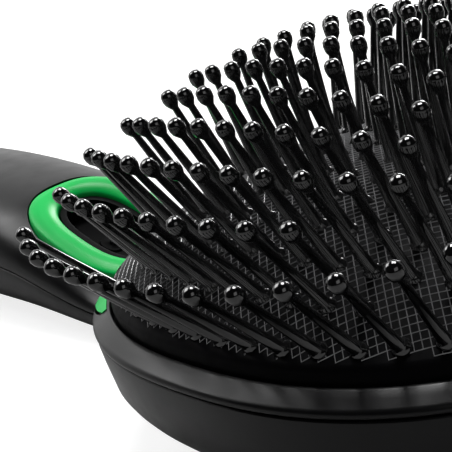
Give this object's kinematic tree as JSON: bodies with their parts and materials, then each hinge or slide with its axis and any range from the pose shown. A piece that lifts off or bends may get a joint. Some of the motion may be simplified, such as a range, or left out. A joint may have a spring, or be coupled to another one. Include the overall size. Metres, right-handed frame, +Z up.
{
  "type": "paddle brush",
  "caption": "Hair brush with an oval head, a domed rubber cushion of ball-tipped pins, a thick battery handle with a sliding switch, and an ion outlet in the neck.",
  "frame": {"origin": "on the surface that the brush lies on, under the middle of its overall length and width", "axes": "+X from the handle's butt to the tip of the head, +Z up from the back to the pins, the brush lying on its back"},
  "size_m": [0.244, 0.1018, 0.0539],
  "materials": {
    "housing": "satin black moulded plastic",
    "cushion": "soft black rubber with a fine raised net",
    "pins": "glossy black moulded pins",
    "accent": "bright green moulded plastic",
    "gloss_black": "glossy black",
    "inner_plastic": "plain dark moulding",
    "steel": "bright nickel-plated steel",
    "board": "lacquered circuit board",
    "cell": "plain sleeve, no print",
    "lamp": "clear light pipe",
    "lead_sleeve": "insulated lead"
  },
  "bodies": {
    "housing": {"back_shell": "housing", "front_shell": "housing", "cushion_skirt": "cushion", "pin_pad_1": "pins", "pin_pad_2": "pins", "pin_pad_3": "pins", "pin_pad_4": "pins", "cushion_plate": "inner_plastic", "outlet_bezel": "accent", "outlet_cup": "gloss_black", "emitter_needle": "steel", "needle_holder": "inner_plastic", "needle_lead": "lead_sleeve", "accent_strip_left": "accent", "accent_strip_right": "accent", "ion_module": "inner_plastic", "circuit_board": "board", "switch_body": "inner_plastic", "status_lamp": "lamp", "battery_tray": "inner_plastic", "battery_1": "cell", "battery_2": "cell", "front_contact_1": "steel", "front_contact_2": "steel", "bridge_contact": "steel", "battery_spring_1": "steel", "battery_spring_2": "steel", "housing_screw_1": "steel", "housing_screw_2": "steel", "housing_screw_3": "steel", "plate_screw_1": "steel", "plate_screw_2": "steel", "plate_screw_3": "steel", "plate_screw_4": "steel"},
    "switch_slider": {"switch_button": "accent"},
    "battery_cover": {"battery_door": "housing"}
  },
  "joints": [
    {"name": "switch_slide", "type": "slide", "parent": "housing", "child": "switch_slider", "axis": [1, 0, 0], "range_m": [0, 0.004]},
    {"name": "battery_door_slide", "type": "slide", "parent": "housing", "child": "battery_cover", "axis": [-1, 0, 0], "range_m": [0, 0.014]}
  ]
}
